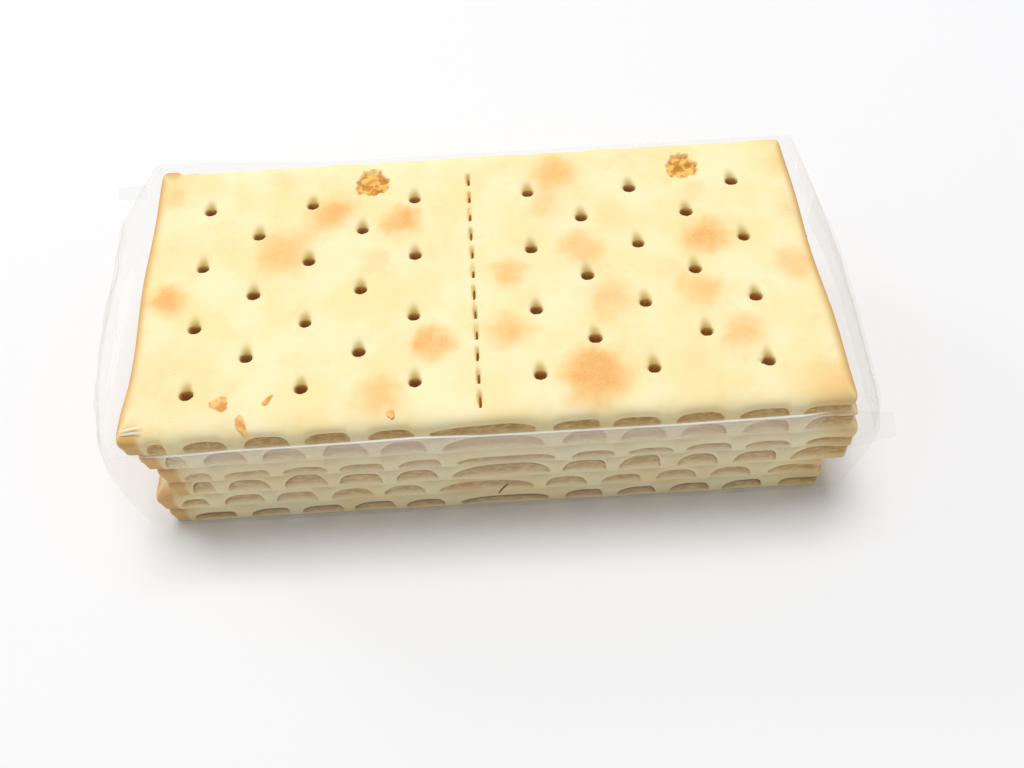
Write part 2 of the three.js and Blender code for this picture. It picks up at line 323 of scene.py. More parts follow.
def crust_material():
    """Pale crust: browned blisters, tan ends, torn faces, browner holes; painted shade in hollows, holes and
    troughs.
    """
    material, t = shader_tree("cracker crust")
    place = t.node("ShaderNodeTexCoord", {}, (), "Object")
    broad = t.noise(place, 9, 3)
    patchy = t.noise(place, 3.2, 4, 0.6)
    fine = t.noise(place, 0.35, 3, 0.6)

    colour = t.mix(broad.eased(0.35, 0.68), rgb(254, 242, 195), rgb(253, 233, 173))
    colour = t.mix(patchy.eased(0.5, 0.8) * 0.35, colour, rgb(250, 214, 138))
    bake = (t.attribute("bake") * (0.6 + patchy * 0.8)).clipped()
    colour = t.mix(bake.eased(0.0, 0.95), colour, rgb(249, 197, 120))
    dark = (bake - 0.62 + (fine - 0.5) * 0.9).eased(0.0, 0.6)
    colour = t.mix(dark * 0.4, colour, rgb(226, 146, 88))
    colour = t.mix(t.attribute("crust"), colour, rgb(222, 176, 100))

    grain = t.node("ShaderNodeMapping", {}, {"Vector": place, "Scale": (0.3, 0.3, 1)})
    streak = t.noise(grain, 0.4, 3, 0.7)
    torn = t.mix(streak.eased(0.35, 0.7), rgb(200, 156, 86), rgb(236, 206, 138))
    # Torn faces in the hollows: streaky tan crust, darkened towards the lip by painted shade, and dark brown
    # painted shade right under the lip.
    colour = t.mix(t.attribute("cut_face_and_shade").eased(0.05, 0.9), colour, torn)
    colour = t.mix((t.attribute("cut_face_and_shade") - 1).eased(0, 0.9) * 0.85, colour, rgb(120, 92, 44))
    crumbs = t.noise(place, 1.3, 3)
    crumb = t.mix(crumbs.eased(0.44, 0.54), rgb(212, 146, 62), rgb(250, 202, 108))
    colour = t.mix(t.attribute("crumb"), colour, crumb)
    # The slope behind each hole: partly baked colour, partly painted shade of its far side.
    colour = t.mix(t.attribute("trough").eased(0, 1) * 0.9, colour, rgb(180, 146, 40))
    # Docking holes and slits: browner at the mouth, partly baked colour and partly painted shade, and near
    # black at the bottom as painted shade.
    pit = t.attribute("pit") + (fine - 0.5) * 0.15
    colour = t.mix(pit.eased(1.0, 0.78), colour, rgb(182, 122, 10))
    colour = t.mix(pit.eased(0.5, 0.15), colour, rgb(110, 68, 8))

    specks = t.node("ShaderNodeTexVoronoi", {}, {"Vector": place, "Scale": 1 / (2.6 * MM)}, "Distance")
    speck_place = t.noise(place, 6, 1)
    speck = (0.06 - specks).eased(0, 0.03) * speck_place.eased(0.5, 0.65)
    colour = t.mix(speck * 0.7, colour, rgb(206, 130, 66))

    height = patchy * 0.2 + fine * 0.1 + t.attribute("cut_face_and_shade") * streak * 0.5
    bump = t.node("ShaderNodeBump", {}, {"Strength": 0.35, "Distance": 0.25 * MM, "Height": height}, 0)
    roughness = 0.62 + fine * 0.2
    surface = {"Base Color": colour, "Roughness": roughness, "Normal": bump, "Specular IOR Level": 0.25}
    shader = t.node("ShaderNodeBsdfPrincipled", {}, surface)
    t.node("ShaderNodeOutputMaterial", {}, [shader])
    return material


def flake_material():
    """Toasted orange flakes of crust."""
    material, t = shader_tree("toasted flake")
    place = t.node("ShaderNodeTexCoord", {}, (), "Object")
    toast = t.noise(place, 1.2, 3)
    colour = t.mix(toast.eased(0.35, 0.65), rgb(248, 200, 124), rgb(226, 158, 72))
    bump = t.node("ShaderNodeBump", {}, {"Strength": 0.25, "Distance": 0.1 * MM, "Height": toast}, 0)
    surface = {"Base Color": colour, "Roughness": 0.65 + toast * 0.15, "Normal": bump}
    shader = t.node("ShaderNodeBsdfPrincipled", {}, surface)
    t.node("ShaderNodeOutputMaterial", {}, [shader])
    return material


def hair_material():
    """Dull grey-brown hair."""
    material, t = shader_tree("grey-brown hair")
    surface = {"Base Color": rgb(92, 80, 62), "Roughness": 0.6}
    t.node("ShaderNodeOutputMaterial", {}, [t.node("ShaderNodeBsdfPrincipled", {}, surface)])
    return material


def painted_glints(t, x, y):
    """Painted glints on the film's short creases: 1 along them, 0 elsewhere."""
    total = 0
    for at_x, at_y, length, width, turn in PAINTED_GLINTS:
        cosine, sine = math.cos(math.radians(turn)), math.sin(math.radians(turn))
        along = ((x - at_x) * cosine + (y - at_y) * sine) / length
        across = ((y - at_y) * cosine - (x - at_x) * sine) / width
        total = (along ** 2 + across ** 2).eased(1, 0.3) + total
    return total


def film_material():
    """Clear packing film: it shows what is behind it, and shines at a slant partly with a painted reflection;
    a milky veil paints the floor's reflection off the crackers' front, and painted highlights line its folds."""
    material, t = shader_tree("clear film")
    place = t.node("ShaderNodeTexCoord", {}, (), "Object")
    x, y, z = (part / MM - start for part, start in zip(t.parts(place), STACK_ORIGIN))
    wave = t.noise(place, 6, 2)
    bump = t.node("ShaderNodeBump", {}, {"Strength": 0.2, "Distance": 0.4 * MM, "Height": wave}, 0)
    slant = t.node("ShaderNodeLayerWeight", {}, {"Blend": 0.5, "Normal": bump}, "Facing")
    # The shine at a slant is a little mirror and mostly a white diffuse layer, a painted reflection of the
    # bright room.
    share = (0.015 + 0.35 * slant ** 4) * (1 - t.attribute("dull") * 0.85)
    surface = {"Base Color": (1, 1, 1, 1), "Metallic": 0.95, "Roughness": 0.08, "Normal": bump}
    mirror = t.node("ShaderNodeBsdfPrincipled", {}, surface)
    painted_reflection = t.node("ShaderNodeBsdfPrincipled", {}, {"Base Color": (0.92, 0.91, 0.9, 1), "Roughness": 0.4})
    sheen = t.node("ShaderNodeMixShader", {}, [0.75, mirror, painted_reflection])
    clear = t.node("ShaderNodeBsdfTransparent", {}, {"Color": (0.985, 0.985, 0.982, 1)})
    glossy = t.node("ShaderNodeMixShader", {}, [share, clear, sheen])

    # Painted highlights: thin white lines along the crease, the second crease and the folds of the front
    # film.
    crease = t.attribute("crease")
    lines = abs(crease).eased(0.14, 0.04) + abs(crease + SECOND_CREASE).eased(0.14, 0.03) * 0.25
    below_crease = (-crease).eased(0, 0.3) * (-crease).eased(14, 6)
    lines = lines + abs(t.attribute("fold")).eased(0.5, 0.05) * below_crease * 0.4
    # The milky veil is a painted reflection of the floor, with the painted crease lines and glints on it.
    painted_veil_and_glints = t.attribute("haze_and_floor_reflection") * (0.6 + wave * 0.8) + t.attribute("front") * lines * 0.45
    painted_veil_and_glints = (painted_veil_and_glints + painted_glints(t, x, y) * z.above(17) * (1 - t.attribute("dull"))).clipped()
    shader = t.node("ShaderNodeMixShader", {}, [painted_veil_and_glints, glossy, painted_reflection])
    t.node("ShaderNodeOutputMaterial", {}, [shader])
    return material


def floor_material():
    material, t = shader_tree("pale floor")
    place = t.node("ShaderNodeTexCoord", {}, (), "Object")
    tone = t.noise(place, 300, 1)
    colour = t.mix(tone, (0.876, 0.884, 0.906, 1), (0.89, 0.897, 0.916, 1))
    shader = t.node("ShaderNodeBsdfPrincipled", {}, {"Base Color": colour, "Roughness": 0.8})
    t.node("ShaderNodeOutputMaterial", {}, [shader])
    return material


# ---------------------------------------------------------------- meshes


def smooth(share):
    """Ease a share between 0 and 1."""
    share = np.clip(share, 0, 1)
    return share * share * (3 - 2 * share)


def ripple(x, y, size, seed):
    """A soft random wave between about -1 and 1, whose bumps are about size across."""
    draw = np.random.default_rng(seed)
    total = 0
    for _ in range(6):
        angle = draw.uniform(0, math.tau)
        pace = math.tau / (size * draw.uniform(1.4, 3))
        total = total + np.sin(pace * (x * math.cos(angle) + y * math.sin(angle)) + draw.uniform(0, math.tau))
    return total / 3.2


def grid_faces(rows, columns, start=0, flip=False):
    """Quads of a grid of points that is stored row by row."""
    corner = (np.arange(rows - 1)[:, None] * columns + np.arange(columns - 1)).ravel() + start
    quads = np.stack([corner, corner + 1, corner + columns + 1, corner + columns], axis=1)
    return quads[:, ::-1] if flip else quads


def rim_line(rows, columns):
    """The points round the rim of a grid, starting along its first row."""
    grid = np.arange(rows * columns).reshape(rows, columns)
    return np.concatenate([grid[0, :-1], grid[:-1, -1], grid[-1, :0:-1], grid[:0:-1, 0]])


def make_piece(name, points, faces, material, values=None):
    """A mesh object from stack places. values holds a number for each point, by attribute name."""
    mesh = bpy.data.meshes.new(name)
    mesh.from_pydata((np.asarray(points) + STACK_ORIGIN) * MM, [], [tuple(face) for face in faces])
    for attribute, numbers in (values or {}).items():
        layer = mesh.attributes.new(attribute, "FLOAT", "POINT")
        layer.data.foreach_set("value", np.asarray(numbers, dtype=np.float32))
    mesh.materials.append(material)
    piece = bpy.data.objects.new(name, mesh)
    bpy.context.scene.collection.objects.link(piece)
    join_points(mesh)
    mesh.shade_smooth()
    mesh.set_sharp_from_angle(angle=math.radians(CRISP_ANGLE))
    return piece


def join_points(mesh):
    """Close the seams where two sheets meet."""
    work = bmesh.new()
    work.from_mesh(mesh)
    bmesh.ops.remove_doubles(work, verts=work.verts, dist=0.002 * MM)
    work.to_mesh(mesh)
    work.free()


def grid_lines(start, end, coarse, fine, marks, reach):
    """Lines from start to end, coarse apart, and fine apart within reach of each mark."""
    walk = np.linspace(start, end, 8001)
    near = np.abs(walk[:, None] - np.asarray(marks)).min(axis=1)
    step = fine + (coarse - fine) * smooth((near - reach) / reach)
    travelled = np.concatenate([[0], np.cumsum(np.diff(walk) / step[1:])])
    count = math.ceil(travelled[-1])
    return np.interp(np.linspace(0, travelled[-1], count + 1), travelled, walk)


# ---------------------------------------------------------------- crackers


def edge_section(foot_in, deep_in, lip_in, lip_height, reach, fullness):
    """Inset and height from the foot up the wall to its deepest place, then the lip and the shoulder."""
    wall = np.arange(WALL_STEPS) / (WALL_STEPS - 1)
    turn = math.pi / 2 * (1 - np.linspace(1, 0, SHOULDER_STEPS + 1) ** 1.3)
    shoulder_in = lip_in + (reach - lip_in) * (1 - np.cos(turn)) ** 1.5
    inset = [foot_in + (deep_in - foot_in) * wall ** 1.2, shoulder_in]
    rise = THICKNESS - lip_height
    height = [(lip_height - LIP_LEDGE) * wall, lip_height + rise * np.sin(turn) ** fullness]
    return np.stack([np.concatenate(inset), np.concatenate(height)])


TAB = edge_section(0, 0, 0, 1.0, EDGE_REACH, 0.95)
WALL = edge_section(0.15, 0.05, 0, 2.2, EDGE_REACH, 0.7)
END = edge_section(0.3, 0.1, 0, 2.3, END_REACH, 0.85)


def tab_places(index):
    """x of each torn tab of a cracker, measured from the cracker's own middle."""
    pitch = TAB_PITCH_BOTTOM + TAB_PITCH_GROWTH * index
    steps = [k for k in range(-TABS_EACH_WAY, TABS_EACH_WAY + 1) if k != 0]
    places = [TAB_SLIDES[index] + k * pitch - SLIDES[index] for k in steps]
    return [x for x in places if abs(x) < LENGTH / 2 - TAB_END_MARGIN]


def hollows(index, side):
    """Start, end, how steep both sides are and how high each hollow along an edge is."""
    draw = np.random.default_rng(10 * index + side)
    stops = [-LENGTH / 2 + LEFT_CORNER]
    for x in tab_places(index):
        half = TAB_HALF_WIDTH * draw.uniform(0.8, 1.2)
        stops += [x - half, x + half]
    stops.append(LENGTH / 2 - RIGHT_CORNER)
    ends = zip(stops[::2], stops[1::2])
    return [(a, b, draw.choice([2.2, 3.2]), draw.choice([4, 9]), draw.uniform(0.8, 1.1)) for a, b in ends]


def edge_arch(x, index, side):
    """How hollow the edge is at each x: 0 at a tab or corner, about 1 in the middle of a hollow."""
    arch = np.zeros_like(x)
    for start, end, left_power, right_power, height in hollows(index, side):
        share = 2 * (x - start) / (end - start) - 1
        power = np.where(share < 0, left_power, right_power)
        inside = height * (1 - np.abs(share).clip(0, 1) ** power) ** 0.7
        arch = np.where(np.abs(share) < 1, inside, arch)
    return arch


def edge_sections(x, index, side):
    """The section of a long edge at each x, and how hollow it is there."""
    arch = edge_arch(x, index, side)
    hollow = edge_section(0.05, 1.25, 0.45, LIP_HEIGHTS[index], EDGE_REACH, 0.85)
    wall_width = np.where(x < 0, LEFT_CORNER, RIGHT_CORNER)
    corner = smooth((np.abs(x) - LENGTH / 2 + wall_width) / 1.2)
    section = TAB[:, :, None] + (hollow - TAB)[:, :, None] * arch
    section = section + (WALL[:, :, None] - section) * corner
    return section, arch * (1 - corner), corner


def slab_sheet(xs, ys, edges, end):
    """Places of one face of a slab, with its rim, and how far in from the rim each place is.

    xs and ys are the lines of its middle. edges holds the sections along the front and the back,
    and end the section of both short ends. At a corner the rim turns on a squared-off quarter."""
    steps = EDGE_STEPS
    columns = len(xs) + 2 * steps
    rows = len(ys) + 2 * steps
    i = np.arange(columns)[None, :]
    j = np.arange(rows)[:, None]
    column_in = np.minimum(np.minimum(i, columns - 1 - i), steps)
    row_in = np.minimum(np.minimum(j, rows - 1 - j), steps)
    level = np.minimum(column_in, row_in)
    span = np.maximum(steps - level, 1)
    turn = np.where(row_in >= column_in, (steps - row_in) / (2 * span), 1 - (steps - column_in) / (2 * span))
    along_x = np.cos(turn * math.pi / 2).clip(0) ** (2 / CORNER_SQUARENESS)
    along_y = np.sin(turn * math.pi / 2).clip(0) ** (2 / CORNER_SQUARENESS)

    column = np.clip(i - steps, 0, len(xs) - 1) + 0 * j
    row = np.clip(j - steps, 0, len(ys) - 1) + 0 * i
    at_back = (j > rows / 2) + 0 * i
    edge_in = np.stack([edge[0] for edge in edges])[at_back, level, column]
    edge_height = np.stack([edge[1] for edge in edges])[at_back, level, column]
    side_x = np.where(i > columns / 2, 1, -1)
    side_y = np.where(j > rows / 2, 1, -1)
    x = xs[column] + side_x * (END_REACH - end[0][level]) * along_x
    y = ys[row] + side_y * (EDGE_REACH - edge_in) * along_y
    facing_edge = np.sin(turn * math.pi / 2) ** 2
    z = end[1][level] + (edge_height - end[1][level]) * facing_edge
    return np.stack([x, y, z], axis=-1), level, column, at_back, facing_edge


def flat_section(section):
    """The underside that goes with an edge section: level, from the section's foot inwards."""
    foot, reach = section[0][0], section[0][-1]
    share = np.linspace(0, 1, EDGE_STEPS + 1).reshape(-1, *([1] * (section.ndim - 2)))
    inset = foot + (reach - foot) * share
    return np.stack([inset, np.zeros_like(inset)])


def blister_field(x, y, blisters, seed):
    """How browned the crust is, from 0 to 1, with uneven patch outlines."""
    wobble_x = x + 0.55 * ripple(x, y, 2.6, seed) + 0.3 * ripple(x, y, 0.9, seed + 2)
    wobble_y = y + 0.55 * ripple(x, y, 2.6, seed + 1) + 0.3 * ripple(x, y, 0.9, seed + 3)
    field = np.zeros_like(x)
    for at_x, at_y, radius, strength in blisters:
        distance = np.hypot(wobble_x - at_x, wobble_y - at_y) / radius
        patch = strength * smooth((1.5 - distance) / 1.3)
        field = field + patch - field * patch
    return field


def flaked_field(x, y):
    """Where the crust has flaked off: 1 inside, with ragged edges."""
    field = np.zeros_like(x)
    for at_x, at_y, radius in FLAKED_PATCHES:
        angle = np.arctan2(y - at_y, x - at_x)
        waves = 0.07 * np.sin(3 * angle + at_x) + 0.06 * np.sin(7 * angle) + 0.05 * np.sin(13 * angle)
        ragged = radius * (1 + waves)
        distance = np.hypot(x - at_x, (y - at_y) / 1.08)
        field = np.maximum(field, smooth((ragged - distance) / 0.45))
    return field


def scattered_blisters(seed):
    """Random blisters for a cracker whose face is hidden in the stack."""
    draw = np.random.default_rng(seed)
    places = draw.uniform([-48, -21], [48, 21], (26, 2))
    return [(x, y, draw.uniform(2.5, 5), draw.uniform(0.3, 0.9)) for x, y in places]


def cracker(index, material):
    """One double cracker: a slab with tabs and hollows along both long edges. The stack hides every
    underside but the bottom one, so the others are a single flat face."""
    top = index == CRACKERS - 1
    bottom = index == 0
    detailed = top or bottom
    stops = [stop for side in (0, 1) for hollow in hollows(index, side) for stop in hollow[:2]]
    columns = [HOLE_FROM_FOLD + HOLE_STEP * number for number in range(HOLE_COLUMNS)]
    holes = [side * column - SLIDES[index] for column in columns for side in (-1, 1)]
    marks = stops + ([-SLIDES[index], *holes] if detailed else [])
    if top:
        shares = np.linspace(-1, 1, 5)
        marks += [x + share * radius - SLIDES[index] for x, _, radius in FLAKED_PATCHES for share in shares]
    fine = BOTTOM_DETAIL_STEP if bottom else DETAIL_STEP
    xs = grid_lines(-LENGTH / 2 + END_REACH, LENGTH / 2 - END_REACH, PLAIN_STEP, fine, marks, 0.8)
    rows = [(r - HOLE_ROWS // 2) * HOLE_ROW_STEP - BACK_SHIFT for r in range(HOLE_ROWS)]
    row_marks = [y + 0.4 for y in rows] if detailed else [0]
    if top:
        row_marks += [DEPTH / 2 - EDGE_REACH - back for back in (0.5, 1.9, 3.3)]
    ys = grid_lines(-DEPTH / 2 + EDGE_REACH, DEPTH / 2 - EDGE_REACH, PLAIN_STEP, fine, row_marks, 1.0)

    edges = [edge_sections(xs, index, side) for side in (0, 1)]
    upper = slab_sheet(xs, ys, [edge[0] for edge in edges], END)
    sheets = [upper[0]]
    if bottom:
        sheets.append(slab_sheet(xs, ys, [flat_section(edge[0]) for edge in edges], flat_section(END))[0])

    places = []
    for sheet in sheets:
        x, y, z = np.moveaxis(sheet, -1, 0)
        x = x - RIGHT_SKEW * y * (2 * x / LENGTH).clip(0) ** 4
        x = x - CORNER_FLARE * top * smooth((-x - 46) / 5) * smooth((-y - 15) / 8)
        x = x + SLIDES[index] + 0.22 * ripple(y, x * 0, 9, index + 40) * (np.abs(x) / LENGTH * 2) ** 8
        y = y + BACK_SHIFT + 0.1 * ripple(x, y, 6, index + 60) * (np.abs(y) / DEPTH * 2) ** 6
        places.append([x, y, z])
    upper_x, upper_y, upper_z = places[0]
    level = upper[1]
    inner = smooth((level - WALL_STEPS) / SHOULDER_STEPS)
    blisters = BLISTERS if top else scattered_blisters(index + 100)
    bake = blister_field(upper_x, upper_y, blisters, index)
    puff = 0.5 + 0.5 * ripple(upper_x, upper_y, 7, index + 20)
    upper_z = upper_z - inner * (FACE_DIP - BLISTER_RISE * bake - WAVE_RISE * puff)
    crumb = flaked_field(upper_x, upper_y) if top else np.zeros_like(upper_x)
    crater = 0.6 + 0.4 * np.tanh(3 * ripple(upper_x, upper_y, 1.3, 5))
    upper_z = upper_z - crumb * FLAKED_DEPTH * crater
    places[0][2] = upper_z

    arch = np.stack([edge[1] for edge in edges])[upper[3], upper[2]]
    corner = np.stack([edge[2] for edge in edges])[upper[3], upper[2]]
    foot_share = 0.35 if top else 0
    # Painted shade on the torn faces: it grows from the foot up to the lip, and goes past torn crust by
    # RECESS_SHADE.
    climb = (level / (WALL_STEPS - 1)) ** 1.25
    up_wall = np.where(level < WALL_STEPS, foot_share + (1 - foot_share) * climb, 0)
    cut_face_and_shade = up_wall * smooth(arch * 3) * upper[4] * (1 + RECESS_SHADE[index])
    at_end = (1 - upper[4]) * smooth((EDGE_STEPS - level) / 9)
    near_end = 0.5 * smooth((np.abs(upper_x - SLIDES[index]) - LENGTH / 2 + 7) / 7)
    crust = np.maximum(at_end, np.maximum(corner, near_end) * upper[4])
    crust = np.clip(crust * smooth((EDGE_STEPS - 1 - level) / 11), 0, 1)
    values = {"bake": bake, "crumb": crumb, "cut_face_and_shade": cut_face_and_shade, "crust": crust, "pit": 9 + 0 * bake}
    shape = upper_x.shape
    faces = list(grid_faces(*shape))
    if bottom:
        faces += list(grid_faces(*shape, start=upper_x.size, flip=True))
        lower_bake = blister_field(places[1][0], places[1][1], scattered_blisters(index + 200), index + 9)
        for name, numbers in values.items():
            lower = {"bake": lower_bake, "pit": 9 + 0 * lower_bake}.get(name, 0 * lower_bake)
            values[name] = np.concatenate([numbers.ravel(), lower.ravel()])
    else:
        faces.append(rim_line(*shape)[::-1])
    base = FILM_GAP + THICKNESS * index
    points = [np.stack([p.ravel() for p in sheet], axis=1) + [0, 0, base] for sheet in places]
    values = {name: numbers.ravel() for name, numbers in values.items()}
    piece = make_piece(f"cracker_{index + 1}", np.concatenate(points), faces, material, values)
    if detailed:
        side = 1 if top else -1
        middle = (base + THICKNESS / 2 + STACK_ORIGIN[2]) * MM
        rule = docking_tree(material)
        apply_rule(piece, rule, {"Face": side, "Middle Height": middle})
    return piece


# ---------------------------------------------------------------- docking holes and slits


def geometry_tree(name, numbers):
    """A geometry tree with named number inputs, and those inputs as values."""
    group = bpy.data.node_groups.new(name, "GeometryNodeTree")
    tree = Tree(group)
    group.interface.new_socket(name="Geometry", in_out="INPUT", socket_type="NodeSocketGeometry")
    group.interface.new_socket(name="Geometry", in_out="OUTPUT", socket_type="NodeSocketGeometry")
    for label, number in numbers.items():
        socket = group.interface.new_socket(name=label, in_out="INPUT", socket_type="NodeSocketFloat")
        socket.default_value = number
    entry = group.nodes.new("NodeGroupInput")
    inputs = {socket.name: Value(tree, socket) for socket in entry.outputs if socket.name}
    return tree, inputs


def finish_rule(tree, geometry, material):
    """End a geometry tree: real points, one material, out."""
    real = tree.node("GeometryNodeRealizeInstances", {}, [geometry])
    shown = tree.node("GeometryNodeSetMaterial", {}, {"Geometry": real, "Material": material})
    tree.node("NodeGroupOutput", {}, [shown])


def apply_rule(piece, tree, numbers):
    """Run a geometry tree on a piece and keep its result as the piece's plain mesh."""
    modifier = piece.modifiers.new("rule", "NODES")
    modifier.node_group = tree.tree
    for item in tree.tree.interface.items_tree:
        if item.in_out == "INPUT" and item.name in numbers:
            modifier[item.identifier] = float(numbers[item.name])
    graph = bpy.context.evaluated_depsgraph_get()
    shown = piece.evaluated_get(graph)
    mesh = bpy.data.meshes.new_from_object(shown, preserve_all_data_layers=True, depsgraph=graph)
    piece.modifiers.remove(modifier)
    piece.data = mesh


def store(tree, geometry, name, value):
    """Write a number on each point of the geometry."""
    settings = {"data_type": "FLOAT", "domain": "POINT"}
    inputs = {"Geometry": geometry, "Name": name, "Value": value}
    return tree.node("GeometryNodeStoreNamedAttribute", settings, inputs)


def docking_tree(material):
    """Press a staggered pattern of docking holes and a line of slits into a cracker's face."""
    sizes = {
        "Face": 1, "Middle Height": 0, "Column Step": HOLE_STEP, "Row Step": HOLE_ROW_STEP,
        "First Column": HOLE_FROM_FOLD, "Mouth": 0.94, "Floor": 0.62, "Hole Depth": 2.6,
        "Hole Shift": 0.6, "Trough Length": 3.3, "Trough Width": 1.4, "Trough Depth": 0.55,
        "Slit Pitch": SLIT_PITCH, "Seed": 4,
    }
    t, size = geometry_tree("docking pattern", sizes)
    x, y, z = t.parts(t.node("GeometryNodeInputPosition"))
    x = x / MM - STACK_ORIGIN[0]
    y = y / MM - STACK_ORIGIN[1]

    # The nearest hole: columns and rows of a hole are both even or both odd.
    column = (abs(x) - size["First Column"]) / size["Column Step"]
    row = y / size["Row Step"] + HOLE_ROWS // 2
    half_sum = ((column + row) / 2).maths("ROUND")
    half_difference = ((column - row) / 2).maths("ROUND")
    column = half_sum + half_difference
    row = half_sum - half_difference
    in_columns = column.above(-0.5) * (HOLE_COLUMNS - 0.5 - column).above(0)
    in_rows = row.above(-0.5) * (HOLE_ROWS - 0.5 - row).above(0)
    number = column + 8 * row + 64 * x.above(0)

    def jitter(low, high, shift):
        inputs = {2: low, 3: high, 7: number, 8: size["Seed"] + shift}
        return t.node("FunctionNodeRandomValue", {"data_type": "FLOAT"}, inputs, 1)

    across = abs(x) - size["First Column"] - column * size["Column Step"] + jitter(-0.15, 0.15, 0)
    along = y - (row - HOLE_ROWS // 2) * size["Row Step"] - size["Hole Shift"] + jitter(-0.15, 0.15, 1)
    distance = (across ** 2 + (along * 1.15) ** 2) ** 0.5
    distance = distance * jitter(0.92, 1.08, 2) + 9 * (1 - in_columns * in_rows)
    well = distance.eased(size["Mouth"], size["Floor"])
    behind = along.maths("MAXIMUM", 0) / size["Trough Length"]
    before = along.maths("MINIMUM", 0) / size["Mouth"] / 1.1
    reach = ((across / size["Trough Width"]) ** 2 + behind ** 2 + before ** 2) ** 0.5
    trough = reach.eased(1, 0.1) * in_columns * in_rows

    # The nearest slit of the fold line, which drifts a little from the back to the front.
    slit = ((y - SLIT_MIDDLE) / size["Slit Pitch"]).maths("FLOOR")
    slit = slit.maths("MAXIMUM", -SLITS / 2).maths("MINIMUM", SLITS / 2 - 1)
    beyond = y - SLIT_MIDDLE - (slit + 0.5) * size["Slit Pitch"]
    aside = abs(x + 0.1 + 0.0145 * y)
    slit_along = beyond.eased(-1.25, -1.05) * beyond.eased(1.35, 0.7)
    slit_well = aside.eased(0.28, 0.06) * slit_along
    slit_trough = aside.eased(0.7, 0.1) * beyond.eased(-1.1, -0.6) * beyond.eased(2, 0.2)

    # How far from the middle of a hole or slit, as a share of its part darkened by painted shade.
    pit = (distance / 1.06).maths("MINIMUM", 1.4 - slit_well * (0.9 + beyond.eased(0.9, -0.1) * 0.5))
    # The slopes behind the holes and round the slits, which the crust darkens partly with painted shade.
    dish = trough.maths("MAXIMUM", slit_trough * 0.4)
    depth = well * size["Hole Depth"] + trough * size["Trough Depth"]
    depth = depth.maths("MAXIMUM", slit_well * 2 + slit_trough * 0.15)
    on_face = ((z - size["Middle Height"]) * size["Face"]).above(0)
    offset = t.node("ShaderNodeCombineXYZ", {}, {"Z": -depth * size["Face"] * on_face * MM})
    geometry = store(t, size["Geometry"], "pit", pit + 9 * (1 - on_face))
    geometry = store(t, geometry, "trough", dish * on_face)
    geometry = t.node("GeometryNodeSetPosition", {}, {"Geometry": geometry, "Offset": offset})
    finish_rule(t, geometry, material)
    return t


# ---------------------------------------------------------------- film bag


def film_inset(z):
    """How far the film has come in from a long side at height z."""
    return SLOPE_INSET * np.clip((z - STACK_HEIGHT + SLOPE_HEIGHT) / SLOPE_HEIGHT, 0, 1)


def end_reach(end):
    """Heights and reaches along an end's outline, with its bends rounded."""
    z, reach = np.array(end["outline"]).T
    lengths = np.concatenate([[0], np.cumsum(np.hypot(np.diff(z), np.diff(reach)))])
    step = 0.02
    walk = np.arange(0, lengths[-1], step)
    window = int(BEND_ROUNDING / step)
    rounded = []
    for values in (z, reach):
        line = np.interp(walk, lengths, values)
        before = 2 * line[0] - line[window:0:-1]
        after = 2 * line[-1] - line[-2:-window - 2:-1]
        padded = np.concatenate([before, line, after])
        for _ in range(2):
            padded = np.convolve(padded, np.ones(window) / window, "same")
        rounded.append(padded[window:-window])
    return np.maximum.accumulate(rounded[0]), rounded[1]


def end_x(end, y, z):
    """x of an end's film at a place across the pack and a height."""
    across = (2 * (y - BAG_FRONT) / (BAG_BACK - BAG_FRONT) - 1).clip(-1, 1)
    power = np.where(across < 0, end["front_power"], end["back_power"])
    plan = (1 - np.abs(across) ** power).clip(0) ** (1 / power)
    corner = ((-16 - y) / 8).clip(0, 1)
    edge = end["edge"] + end["flare"] * corner * (1 - z / STACK_HEIGHT)
    reach = np.interp(z, *end_reach(end))
    shelf = end.get("shelf", 0) * smooth((SHELF_BACK - y) / 5) * smooth((STACK_HEIGHT - z) / 0.7)
    shelf = shelf * smooth((z - 20) / 5)
    return end["side"] * (edge + (reach + shelf) * plan)


def film_heights():
    """Heights of the film's rows, close together along the crease and round the bends."""
    z = np.linspace(BAG_FLOOR, STACK_HEIGHT, 8001)
    reaches = [np.diff(np.interp(z, *end_reach(end))) for end in (LEFT_END, RIGHT_END)]
    lengths = np.sqrt(np.diff(z) ** 2 + sum(reach ** 2 for reach in reaches) + np.diff(film_inset(z)) ** 2)
    fine = (z[1:] > FINE_BAND[0]) & (z[1:] < FINE_BAND[1])
    walked = np.concatenate([[0], np.cumsum(lengths * np.where(fine, 7, 1))])
    count = math.ceil(walked[-1] / 0.38)
    return np.interp(np.linspace(0, walked[-1], count + 1), walked, z)


def crease_lift(x, z):
    """How far the front film's rows are moved up or down, so that one of them follows the crease."""
    lift = np.interp(x, *np.array(CREASE_PATH).T) - CREASE
    slope_foot = STACK_HEIGHT - SLOPE_HEIGHT
    below = smooth((z - 13) / (CREASE - 13))
    above = ((slope_foot - z) / (slope_foot - CREASE)).clip(0, 1)
    return lift * np.minimum(below, above)


def front_line(x, z):
    """y of the front film: it steps out at the crease in two small folds, then waves a little."""
    middle = smooth((50 - np.abs(x)) / 5)
    second = CREASE + 0.55 + 0.25 * np.sin(x * 0.9) * np.exp(-(((x - 1) / 7) ** 2))
    steps = 0.3 * smooth((CREASE + 0.08 - z) / 0.16) + 0.22 * smooth((second + 0.07 - z) / 0.14)
    steps = steps * (0.3 + 0.7 * smooth(z / 14))
    slow = 0.15 * ripple(x, z * 2, 14, 3) * smooth(z / 6) * smooth((CREASE - z) / 5)
    return BAG_FRONT + film_inset(z) - middle * (steps + slow)


